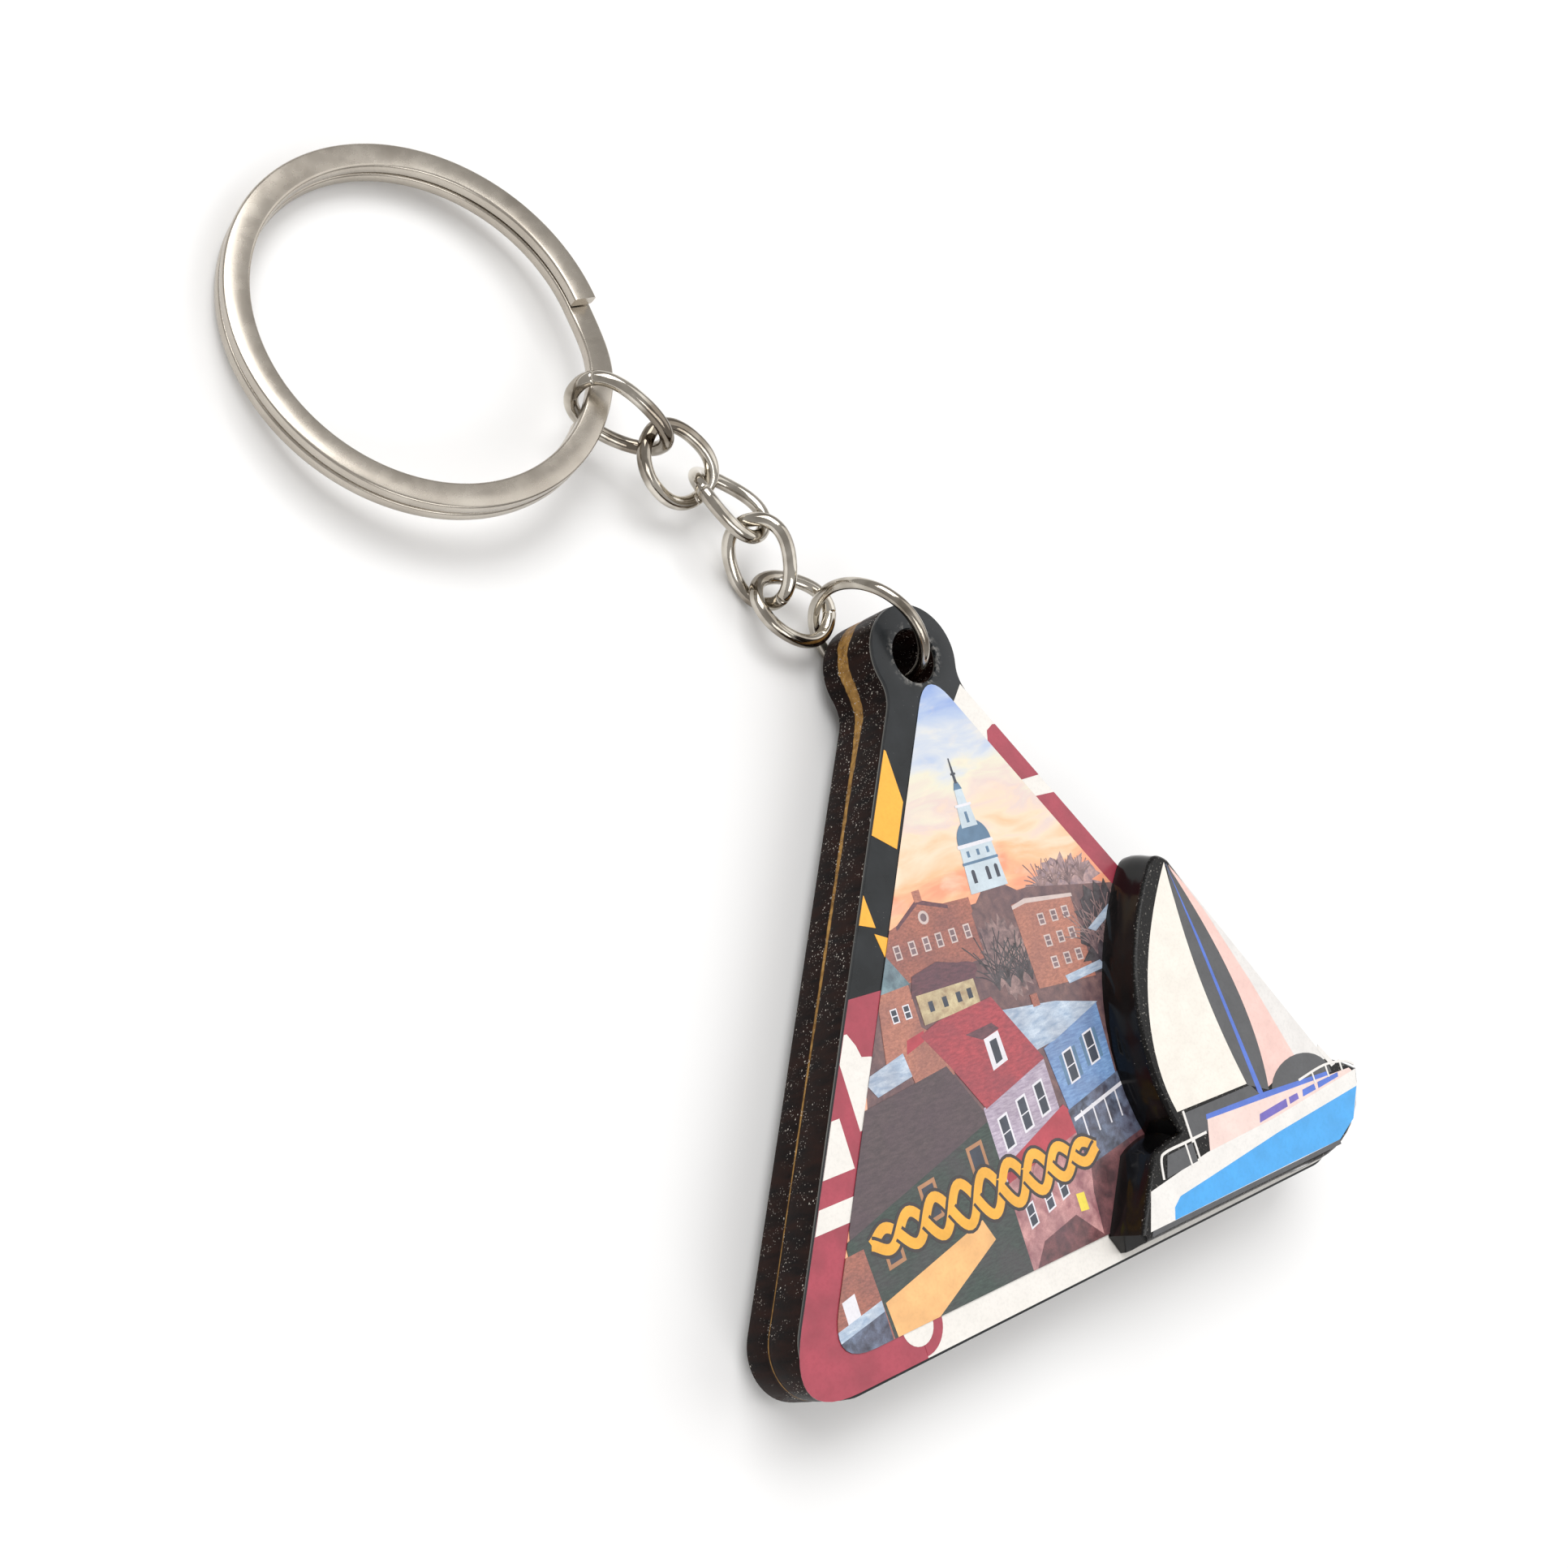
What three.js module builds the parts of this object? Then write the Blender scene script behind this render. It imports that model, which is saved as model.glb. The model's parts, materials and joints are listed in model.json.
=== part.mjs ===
// A souvenir keychain: a layered triangular board with a raised boat plate, a jump ring,
// five wire links and a split key ring. Millimetres, +Z up, all pieces lying on a table.
// The origin is the middle of the board triangle, on the flat back face of the board.
import * as THREE from "three";
import { mergeVertices } from "three/addons/utils/BufferGeometryUtils.js";

// ---- driving dimensions: the board ----
const boardHeight = 54; // from the bottom edge to where the two long edges would meet
const boardHalfBase = 33.85; // half the width at the bottom edge, before the corners are rounded
const boardCorner = 3.75;
const holeBelowPeak = 3.4; // from where the two long edges would meet
const holeRadius = 2.25;
const tabWall = 2.15; // board left around the hole
const neckFillet = 3;
const backFilm = 0.15;
const backBoard = 2.3;
const bondLayer = 0.6;
const frontBoard = 3.1;
const printedSheet = 0.15;
const clearCoat = 0.25;

// ---- driving dimensions: the boat plate ----
const glueLayer = 0.2;
const boatBoard = 2.7;
const glueInset = 0.35;

// ---- driving dimensions: the metal pieces ----
const jumpWire = 1;
const jumpSlack = 0.92; // the ring passes the corners of the tab with this much room
const linkWire = 1.15;
const linkWidth = 5.1; // between the wire centres
const linkLength = 6.95;
const ringLinkLength = 8.2;
const linkTwist = 14; // degrees that each end of a link is turned from its middle
const linkClearance = 0.2; // between the wires of two links
const cutGap = 0.1; // where each wire's ends meet
const splitRingOuter = 15;
const splitRingStrip = 2; // across the flat strip
const splitRingTurn = 1; // thickness of one turn
const splitRingGap = 0.15; // between the two turns

// ---- worked out from them ----
const holeAboveBase = boardHeight - holeBelowPeak;
const tabRadius = holeRadius + tabWall;
const fobThickness = backFilm + backBoard + bondLayer + frontBoard + printedSheet + clearCoat;
const middleHeight = boardHeight / 3;
const sideAngle = Math.atan2(boardHeight, boardHalfBase);
const hole = new THREE.Vector2(0, holeAboveBase - middleHeight);
const jumpRadius = Math.hypot(tabWall, fobThickness) / 2 + jumpWire / 2 + jumpSlack;
const jumpPitch = (jumpWire + linkWire) / 2 + linkClearance;
const linkPitch = linkWire + linkClearance;
const ringMiddle = splitRingOuter - splitRingStrip / 2;

// ---- colours ----
const nickel = { color: 0xc8c0b4, roughness: 0.25, metalness: 1 };
const darkBoard = { color: 0x2a211c, roughness: 0.6, metalness: 0 };
const greyFilm = { color: 0x8f8f8c, roughness: 0.5, metalness: 0 };
const tanGlue = { color: 0xa57d46, roughness: 0.7, metalness: 0 };
const scenePrint = { color: 0xa04a5a, roughness: 0.4, metalness: 0 };
const boatPrint = { color: 0xe8e4dc, roughness: 0.4, metalness: 0 };
const gloss = { color: 0xf2f2ee, roughness: 0.15, metalness: 0 };

const group = new THREE.Group();
group.name = "souvenir_keychain";

function radians(degrees) {
  return THREE.MathUtils.degToRad(degrees);
}

function addPiece(name, geometry, look) {
  const material = new THREE.MeshStandardMaterial(look);
  const mesh = new THREE.Mesh(mergeVertices(geometry), material);
  mesh.name = name;
  group.add(mesh);
  return mesh;
}

// ---- the layered board ----

// The board's outline, drawn inwards by inset: two base corners, the straight sides, a hollow
// fillet each side of the neck, and the round tab. The arc centres don't move with the inset.
function boardShape(inset) {
  const corner = boardCorner - inset;
  const tab = tabRadius - inset;
  const fillet = neckFillet + inset;
  const cornerX = boardHalfBase - boardCorner / Math.tan(sideAngle / 2);
  const cornerY = boardCorner - middleHeight;
  const normalAngle = Math.PI / 2 - sideAngle;

  // along and out are measured from the right base point, up the side and away from it
  const along = boardHalfBase * Math.cos(sideAngle) + holeAboveBase * Math.sin(sideAngle);
  const out = holeAboveBase * Math.cos(sideAngle) - boardHalfBase * Math.sin(sideAngle);
  const reach = tabRadius + neckFillet;
  const filletAlong = along - Math.sqrt(reach ** 2 - (neckFillet - out) ** 2);
  const filletX =
    boardHalfBase - filletAlong * Math.cos(sideAngle) + neckFillet * Math.sin(sideAngle);
  const filletY =
    filletAlong * Math.sin(sideAngle) + neckFillet * Math.cos(sideAngle) - middleHeight;
  const neckAngle = Math.atan2(filletY - hole.y, filletX);

  const shape = new THREE.Shape();
  shape.absarc(cornerX, cornerY, corner, -Math.PI / 2, normalAngle, false);
  shape.absarc(filletX, filletY, fillet, normalAngle + Math.PI, neckAngle + Math.PI, true);
  shape.absarc(0, hole.y, tab, neckAngle, Math.PI - neckAngle, false);
  shape.absarc(-filletX, filletY, fillet, -neckAngle, -normalAngle, true);
  shape.absarc(-cornerX, cornerY, corner, Math.PI - normalAngle, 1.5 * Math.PI, false);

  const opening = new THREE.Path();
  opening.absarc(hole.x, hole.y, holeRadius + inset, 0, 2 * Math.PI, true);
  shape.holes.push(opening);
  return shape;
}

// One flat layer from the height bottom upwards. Returns the height of its top.
function addLayer(name, shape, bottom, thickness, look) {
  const geometry = new THREE.ExtrudeGeometry(shape, {
    depth: thickness,
    bevelEnabled: false,
    curveSegments: 14,
  });
  addPiece(name, geometry, look).position.z = bottom;
  return bottom + thickness;
}

function addBoard() {
  const outline = boardShape(0);
  let height = 0;
  height = addLayer("back_film", outline, height, backFilm, greyFilm);
  height = addLayer("back_board", outline, height, backBoard, darkBoard);
  height = addLayer("bond_layer", outline, height, bondLayer, tanGlue);
  height = addLayer("front_board", outline, height, frontBoard, darkBoard);
  height = addLayer("printed_sheet", outline, height, printedSheet, scenePrint);
  return addLayer("clear_coat", outline, height, clearCoat, gloss);
}

// ---- the boat plate on the board's lower right corner ----

// Outline of the boat: along the keel to the bow, up the forestay, round the mast top, down
// the curved back edge of the sail and round the stern. x and y are from the middle of the
// board's bottom edge.
function boatShape() {
  const shape = new THREE.Shape();
  shape.moveTo(1.4, 1.3);
  shape.lineTo(22, 1.2);
  shape.bezierCurveTo(27, 0.5, 31.4, 2.1, 32.8, 6.8);
  shape.quadraticCurveTo(31.2, 8, 28.8, 8.9);
  shape.lineTo(17.7, 29);
  shape.quadraticCurveTo(16.3, 30.4, 15, 29.1);
  shape.bezierCurveTo(9.4, 23.5, 6, 16, 8.7, 8);
  shape.quadraticCurveTo(7, 8.1, 5, 7.4);
  shape.lineTo(1.1, 2.1);
  shape.closePath();
  return shape;
}

// The boat outline's points, moved up the board to the row's origin and drawn in by inset.
function boatOutline(inset) {
  const points = boatShape().extractPoints(10).shape;
  points.pop();
  const count = points.length;
  const moved = points.map((point, index) => {
    const before = points[(index + count - 1) % count];
    const after = points[(index + 1) % count];
    const direction = after.clone().sub(before).normalize();
    return new THREE.Vector2(
      point.x - inset * direction.y,
      point.y + inset * direction.x - middleHeight,
    );
  });
  return new THREE.Shape(moved);
}

function addBoat(bottom) {
  const outline = boatOutline(0);
  let height = bottom;
  height = addLayer("boat_glue", boatOutline(glueInset), height, glueLayer, tanGlue);
  height = addLayer("boat_board", outline, height, boatBoard, darkBoard);
  height = addLayer("boat_print", outline, height, printedSheet, boatPrint);
  addLayer("boat_coat", outline, height, clearCoat, gloss);
}

// ---- wire pieces ----

// The centre line of a wire link: an oval with squared ends, its long axis along X, twisted
// about that axis so that each end leans the other way. A round ring has no twist and the
// oval's exponent 2. cutAngle is where the wire's two ends meet.
class WireLoop extends THREE.Curve {
  constructor(length, width, twist, exponent, cutAngle) {
    super();
    this.length = length;
    this.width = width;
    this.twist = twist;
    this.exponent = exponent;
    this.cutAngle = cutAngle;
    this.cut = cutGap / length;
  }

  getPoint(part, target = new THREE.Vector3()) {
    const angle = this.cutAngle + this.cut + part * 2 * (Math.PI - this.cut);
    const cosine = Math.cos(angle);
    const sine = Math.sin(angle);
    const power = Math.abs(cosine) ** this.exponent + Math.abs(sine) ** this.exponent;
    const squareness = power ** (-1 / this.exponent);
    const across = (this.width / 2) * sine * squareness;
    const lean = this.twist * cosine * squareness;
    return target.set(
      (this.length / 2) * cosine * squareness,
      across * Math.cos(lean),
      across * Math.sin(lean),
    );
  }
}

function wireGeometry(path, wire, steps) {
  const section = new THREE.Shape();
  section.absarc(0, 0, wire / 2, 0, 2 * Math.PI, false);
  return new THREE.ExtrudeGeometry(section, {
    extrudePath: path,
    steps,
    curveSegments: 5,
    bevelEnabled: false,
  });
}

// ---- where the pieces lie ----

// A lying direction: heading is degrees from +X towards +Y, slope is degrees upwards, and
// roll turns the piece about its own long axis.
function pose(heading, slope, roll) {
  const turn = new THREE.Euler(radians(roll), -radians(slope), radians(heading), "ZYX");
  return new THREE.Quaternion().setFromEuler(turn);
}

function axisOf(turn, x, y, z) {
  return new THREE.Vector3(x, y, z).applyQuaternion(turn);
}

// The jump ring stands on edge through the hole. reach is how far its centre is from the
// hole's axis, and rise is how far it is above the middle of the board's thickness.
const jumpPose = { heading: 120, lean: 4.4, reach: 3.4, rise: 0.64 };
// The first link hangs on the jump ring this many degrees below its outermost point.
const jumpDrop = 42;

// From the jump ring to the split ring. slip is how far a link sits off the middle of the
// wire that holds it, and cut is where its wire's ends meet, in degrees around the link.
const chain = [
  { name: "chain_link_4", heading: 148, slope: -4, roll: 2, slip: 0.31, cut: 200 },
  { name: "chain_link_3", heading: 99.5, slope: 23.5, roll: -66, slip: -0.08, cut: 215 },
  { name: "chain_link_2", heading: 130.5, slope: -5, roll: 25, slip: -0.68, cut: 45 },
  { name: "chain_link_1", heading: 141, slope: 14.5, roll: -23, slip: 0.51, cut: 160 },
  { name: "ring_link", heading: 141, slope: 1.5, roll: -81, slip: -0.21, cut: 330 },
];

// The split ring: the direction of its tilt, and where around it the ring link holds it.
const ringTilt = new THREE.Vector3(-0.104, -0.07, 0);
const ringHeldAt = -32;
const stripInLink = 1.95; // from the end wire of the ring link to the middle of the strip

function addJumpRing() {
  const loop = new WireLoop(2 * jumpRadius, 2 * jumpRadius, 0, 2, radians(200));
  const mesh = addPiece("jump_ring", wireGeometry(loop, jumpWire, 48), nickel);
  mesh.quaternion.copy(pose(jumpPose.heading, 0, 90 + jumpPose.lean));
  const away = axisOf(pose(jumpPose.heading, 0, 0), jumpPose.reach, 0, 0);
  mesh.position.set(hole.x, hole.y, fobThickness / 2 + jumpPose.rise).add(away);
  const drop = radians(jumpDrop);
  const outwards = axisOf(mesh.quaternion, Math.cos(drop), -Math.sin(drop), 0);
  return { end: outwards.clone().multiplyScalar(jumpRadius).add(mesh.position), outwards };
}

// Hangs a link on the wire that ends at holder.end, and returns its own far end.
function addLink(entry, holder, pitch) {
  const isRingLink = entry.name === "ring_link";
  const length = isRingLink ? ringLinkLength : linkLength;
  const loop = new WireLoop(length, linkWidth, radians(linkTwist), 2.3, radians(entry.cut));
  const mesh = addPiece(entry.name, wireGeometry(loop, linkWire, 40), nickel);
  const turn = pose(entry.heading, entry.slope, entry.roll);
  const outwards = axisOf(turn, 1, 0, 0);
  const between = outwards.clone().add(holder.outwards).normalize();
  mesh.quaternion.copy(turn);
  mesh.position.copy(holder.end).addScaledVector(between, -pitch);
  mesh.position.add(axisOf(turn, length / 2, entry.slip, 0));
  return { end: mesh.position.clone().addScaledVector(outwards, length / 2), outwards };
}

// ---- the split ring ----

// Two flat turns of one strip. It starts with a free end on the lower layer, goes round, steps
// up in the gap between the free ends, and goes round again on the upper layer.
function splitRingGeometry() {
  const lowerTurn = radians(315);
  const step = radians(32);
  const sweep = radians(675);
  const startAngle = radians(-41);
  const rise = splitRingTurn + splitRingGap;
  const soft = 0.15;
  const half = splitRingStrip / 2;
  const section = new THREE.Shape();
  section.moveTo(-half + soft, 0);
  section.lineTo(half - soft, 0);
  section.lineTo(half, soft);
  section.lineTo(half, splitRingTurn - soft);
  section.lineTo(half - soft, splitRingTurn);
  section.lineTo(-half + soft, splitRingTurn);
  section.lineTo(-half, splitRingTurn - soft);
  section.lineTo(-half, soft);
  section.closePath();
  const geometry = new THREE.ExtrudeGeometry(section, {
    depth: sweep,
    steps: 135,
    bevelEnabled: false,
  });
  const place = geometry.getAttribute("position");
  for (let index = 0; index < place.count; index += 1) {
    const turned = place.getZ(index);
    const climbed = THREE.MathUtils.smoothstep(turned, lowerTurn, lowerTurn + step);
    const radius = ringMiddle + place.getX(index);
    const angle = startAngle - turned;
    const height = place.getY(index) + climbed * rise - rise - splitRingTurn / 2;
    place.setXYZ(index, radius * Math.cos(angle), radius * Math.sin(angle), height);
  }
  return geometry;
}

// The upper turn's middle is the ring's own zero height.
function addSplitRing(holder) {
  const mesh = addPiece("split_ring", splitRingGeometry(), nickel);
  const axis = ringTilt.clone().normalize();
  mesh.quaternion.setFromAxisAngle(axis, ringTilt.length());
  const heldAt = radians(ringHeldAt);
  const held = axisOf(
    mesh.quaternion,
    ringMiddle * Math.cos(heldAt),
    ringMiddle * Math.sin(heldAt),
    0,
  );
  mesh.position.copy(holder.end).addScaledVector(holder.outwards, -stripInLink).sub(held);
}

const fobTop = addBoard();
addBoat(fobTop);
let holder = addJumpRing();
chain.forEach((entry, index) => {
  holder = addLink(entry, holder, index === 0 ? jumpPitch : linkPitch);
});
addSplitRing(holder);

export default group;
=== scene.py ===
import json
import math

import bpy
import numpy as np
from mathutils import Matrix, Vector
from mathutils.geometry import tessellate_polygon


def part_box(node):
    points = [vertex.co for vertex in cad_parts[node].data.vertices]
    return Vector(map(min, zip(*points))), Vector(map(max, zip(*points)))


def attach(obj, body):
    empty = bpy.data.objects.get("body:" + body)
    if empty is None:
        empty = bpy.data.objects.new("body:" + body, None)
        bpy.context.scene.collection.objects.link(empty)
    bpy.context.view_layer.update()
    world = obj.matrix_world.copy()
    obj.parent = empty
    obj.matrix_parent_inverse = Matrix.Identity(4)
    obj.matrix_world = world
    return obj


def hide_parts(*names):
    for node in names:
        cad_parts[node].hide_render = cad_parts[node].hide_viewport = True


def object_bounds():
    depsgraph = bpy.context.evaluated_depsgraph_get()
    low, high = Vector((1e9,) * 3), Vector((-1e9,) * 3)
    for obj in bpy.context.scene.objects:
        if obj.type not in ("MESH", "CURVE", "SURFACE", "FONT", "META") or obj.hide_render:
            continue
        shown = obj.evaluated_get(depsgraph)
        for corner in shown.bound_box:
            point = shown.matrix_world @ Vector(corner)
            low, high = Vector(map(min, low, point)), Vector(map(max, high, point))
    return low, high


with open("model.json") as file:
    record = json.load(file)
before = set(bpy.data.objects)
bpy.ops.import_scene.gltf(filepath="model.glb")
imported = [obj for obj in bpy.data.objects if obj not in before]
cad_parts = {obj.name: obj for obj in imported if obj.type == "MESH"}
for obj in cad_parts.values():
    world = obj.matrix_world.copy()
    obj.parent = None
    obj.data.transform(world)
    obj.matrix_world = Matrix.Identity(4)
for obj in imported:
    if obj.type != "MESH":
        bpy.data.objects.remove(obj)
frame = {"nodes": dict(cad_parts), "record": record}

# A souvenir keychain: layered triangular board, raised boat plate, jump ring, wire chain and
# split key ring. Lengths below are millimetres on the board unless a name says otherwise, and
# metres() turns them into Blender's units.
CAD_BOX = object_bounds()
MM = 0.001

# The board, as in the CAD part.
BOARD_HEIGHT = 54.0
BOARD_HALF_BASE = 33.85
BOARD_CORNER = 3.75
HOLE_ABOVE_BASE = 50.6
HOLE_RADIUS = 2.25
TAB_RADIUS = 4.4
NECK_FILLET = 3.0
MIDDLE = BOARD_HEIGHT / 3
SIDE_ANGLE = math.atan2(BOARD_HEIGHT, BOARD_HALF_BASE)

# Heights of the layers, read from the frame.
FACE_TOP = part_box("clear_coat")[1].z / MM
BOAT_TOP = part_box("boat_coat")[1].z / MM

# The chain, as in the CAD part.
JUMP_WIRE = 1.0
LINK_WIRE = 1.15
LINK_WIDTH = 5.1
LINK_LENGTH = 6.95
RING_LINK_LENGTH = 8.2
LINK_TWIST = math.radians(14)
LINK_SQUARENESS = 2.3
CUT_GAP = 0.1
RING_OUTER = 15.0
RING_STRIP = 2.0
RING_TURN = 1.0
RING_GAP = 0.15
RING_SOFT_EDGE = 0.22
RING_START = math.radians(-41)  # where the lower turn begins, then how far each stretch goes
RING_LOWER_SWEEP = math.radians(315)
RING_STEP_SWEEP = math.radians(32)
RING_SWEEP = math.radians(675)

# The camera: the photograph's viewing angle and distance.
CAMERA_AZIMUTH = math.radians(277.83)
CAMERA_ELEVATION = math.radians(49.9)
CAMERA_ROLL = math.radians(66.6)
CAMERA_DISTANCE = 159.83
CAMERA_TARGET = Vector((-11.56, 43.67 - MIDDLE, 0))
CAMERA_LENS = 46.65

FLOOR_DROP = 0.08  # the round wires reach this far below their faceted CAD pieces


# ---- colours and materials ----


def linear(hexadecimal):
    """The linear colour, with alpha 1, of an sRGB colour written as RRGGBB."""
    channels = [int(hexadecimal[i : i + 2], 16) / 255 for i in (0, 2, 4)]
    low = [c / 12.92 for c in channels]
    high = [((c + 0.055) / 1.055) ** 2.4 for c in channels]
    chosen = [low[i] if channels[i] < 0.04045 else high[i] for i in range(3)]
    return (*chosen, 1.0)


class Look:
    """A node material being built: one Principled shader and helpers that feed it."""

    def __init__(self, name, roughness, metallic=0.0, coat=0.0, specular=0.5):
        self.material = bpy.data.materials.new(name)
        self.material.use_nodes = True
        self.nodes = self.material.node_tree.nodes
        self.links = self.material.node_tree.links
        self.shader = self.nodes["Principled BSDF"]
        self.set(
            self.shader,
            Roughness=roughness,
            Metallic=metallic,
            Coat_Weight=coat,
            Coat_Roughness=0.12,
            Specular_IOR_Level=specular,
        )
        self.place = self.add("TexCoord").outputs["Object"]

    def feed(self, socket, value):
        """Link an output to the socket, or set a plain value."""
        if isinstance(value, bpy.types.NodeSocket):
            self.links.new(value, socket)
        else:
            socket.default_value = value

    def set(self, node, **inputs):
        """Feed a node's inputs by name, with an underscore for each space."""
        for name, value in inputs.items():
            self.feed(node.inputs[name.replace("_", " ")], value)

    def add(self, kind, **inputs):
        node = self.nodes.new("ShaderNode" + kind)
        self.set(node, **inputs)
        return node

    def stretched(self, scale):
        return self.add("Mapping", Vector=self.place, Scale=scale).outputs["Vector"]

    def noise(self, per_mm, detail=3.0, vector=None, distortion=0.0):
        node = self.add("TexNoise", Scale=per_mm / MM, Detail=detail, Distortion=distortion)
        self.set(node, Vector=vector or self.place)
        return node.outputs["Fac"]

    def specks(self, per_mm):
        return self.add("TexVoronoi", Vector=self.place, Scale=per_mm / MM).outputs["Distance"]

    def ramp(self, factor, stops):
        node = self.add("ValToRGB", Fac=factor)
        elements = node.color_ramp.elements
        while len(elements) < len(stops):
            elements.new(0.5)
        for element, (position, colour) in zip(elements, stops):
            element.position = position
            element.color = colour
        return node.outputs["Color"]

    def blend(self, factor, low, low_colour, high, high_colour):
        """A ramp between two colours written as RRGGBB."""
        return self.ramp(factor, [(low, linear(low_colour)), (high, linear(high_colour))])

    def span(self, value, low, high, to_low=0.0, to_high=1.0):
        node = self.add("MapRange", Value=value, From_Min=low, From_Max=high)
        self.set(node, To_Min=to_low, To_Max=to_high)
        return node.outputs["Result"]

    def maths(self, operation, first, second):
        node = self.add("Math")
        node.operation = operation
        self.feed(node.inputs[0], first)
        self.feed(node.inputs[1], second)
        return node.outputs["Value"]

    def axis(self, letter):
        return self.add("SeparateXYZ", Vector=self.place).outputs[letter]

    def mix(self, factor, first, second):
        node = self.add("Mix")
        node.data_type = "RGBA"
        for name, value in (("Factor", factor), ("A", first), ("B", second)):
            self.feed([s for s in node.inputs if s.name == name and s.enabled][0], value)
        return [s for s in node.outputs if s.enabled][0]

    def colour(self, value):
        self.set(self.shader, Base_Color=value)

    def roughness(self, value, glossy, rough, low=0.3):
        """Roughness that rises from glossy to rough as value goes from low to 0.7."""
        self.set(self.shader, Roughness=self.span(value, low, 0.7, glossy, rough))

    def bump(self, height, depth_mm, strength=1.0):
        node = self.add("Bump", Height=height, Distance=depth_mm * MM, Strength=strength)
        self.set(self.shader, Normal=node.outputs["Normal"])


def shade(colour, factor):
    return (*[min(1.0, c * factor) for c in colour[:3]], 1.0)


def ink(name, hexadecimal, variation):
    """Printed ink under a clear coat: its colour drifts a little, with fine printing dots."""
    look = Look(name, 0.38, coat=0.35)
    base = linear(hexadecimal)
    soft = look.noise(0.5, 2.0)
    drift = look.ramp(soft, [(0.3, shade(base, 1 - variation)), (0.7, shade(base, 1 + variation))])
    dots = look.noise(4.0, 2.0)
    look.colour(look.mix(look.span(dots, 0.45, 0.75, 0, 0.35), drift, shade(base, 0.8)))
    look.roughness(dots, 0.3, 0.45)
    look.bump(soft, 0.01)
    return look.material


def mottled_ink(name, light, dark, per_mm, stretch=(1, 1, 1)):
    """Printed ink that shows foliage, brick or shingle as a mottle of two colours."""
    look = Look(name, 0.38, coat=0.35)
    coarse = look.noise(per_mm, 5.0, look.stretched(stretch), 0.4)
    mottle = look.blend(coarse, 0.32, dark, 0.68, light)
    soft = look.noise(0.35, 2.0)
    shadow = look.span(soft, 0.35, 0.7, 0, 0.35)
    dusk = look.mix(shadow, mottle, linear("5a4452"))
    fine = look.span(look.noise(9.0, 2.0), 0.4, 0.7, 0, 0.3)
    look.colour(look.mix(fine, dusk, shade(linear(dark), 0.7)))
    look.roughness(coarse, 0.32, 0.45)
    look.bump(soft, 0.01)
    return look.material


def sky_ink(stops, low, high):
    """A sunset sky: stops from the horizon at height low to the top at height high."""
    look = Look("sunset sky", 0.38, coat=0.35)
    clouds = look.noise(0.16, 4.0, look.stretched((1, 3.2, 1)), 0.6)
    height = look.span(look.axis("Y"), (low - MIDDLE) * MM, (high - MIDDLE) * MM)
    lifted = look.maths("ADD", height, look.span(clouds, 0.3, 0.7, -0.16, 0.16))
    base = look.ramp(lifted, [(position, linear(code)) for position, code in stops])
    streaks = look.noise(0.3, 4.0, look.stretched((1, 2, 1)), 0.5)
    pale = look.span(streaks, 0.52, 0.72, 0, 0.4)
    look.colour(look.mix(pale, base, linear("f6e6cf")))
    look.roughness(streaks, 0.34, 0.42)
    return look.material


def nickel():
    look = Look("polished nickel", 0.14, metallic=1.0)
    patches = look.noise(0.25, 3.0)
    scratches = look.noise(3.0, 4.0, look.stretched((1, 1, 5)))
    # Painted reflections: the metal's colour runs at random from brown-grey to pale silver,
    # standing in for the dark and bright zones that the polished wire mirrors.
    look.colour(look.blend(patches, 0.36, "857c70", 0.6, "d8d2c7"))
    look.roughness(scratches, 0.05, 0.14, 0.35)
    look.bump(scratches, 0.006, 0.5)
    return look.material


def from_hole(look):
    """The distance from the drilled hole's middle line."""
    up = look.maths("SUBTRACT", look.axis("Y"), (HOLE_ABOVE_BASE - MIDDLE) * MM)
    squares = [look.maths("MULTIPLY", value, value) for value in (look.axis("X"), up)]
    return look.maths("SQRT", look.maths("ADD", *squares), 0.0)


def tan_showing(look):
    """How much of the tan core shows on the cut edge: a wide band round the tab that thins to
    a line down the sides and fades out at the base, with ragged borders."""
    along = look.span(look.axis("Y"), -MIDDLE * MM, (HOLE_ABOVE_BASE + TAB_RADIUS - MIDDLE) * MM)
    stops = [(0.2, 0.06), (0.5, 0.2), (0.78, 0.3), (0.9, 0.8), (1.0, 1.0)]
    grey = look.ramp(along, [(position, (value, value, value, 1)) for position, value in stops])
    ragged = look.span(look.noise(0.6, 4.0), 0.3, 0.7, -0.3, 0.3)
    width = look.maths("MULTIPLY", look.maths("ADD", ragged, 1.0), grey)
    width = look.maths("MULTIPLY", width, 0.8 * MM)
    middle = sum(corner.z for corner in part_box("bond_layer")) / 2
    away = look.maths("ABSOLUTE", look.maths("SUBTRACT", look.axis("Z"), middle), 0.0)
    showing = look.span(look.maths("SUBTRACT", away, width), -0.05 * MM, 0.04 * MM, 1.0, 0.0)
    outside = look.span(from_hole(look), (HOLE_RADIUS + 0.3) * MM, (HOLE_RADIUS + 0.5) * MM)
    return look.maths("MULTIPLY", showing, outside)


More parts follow.
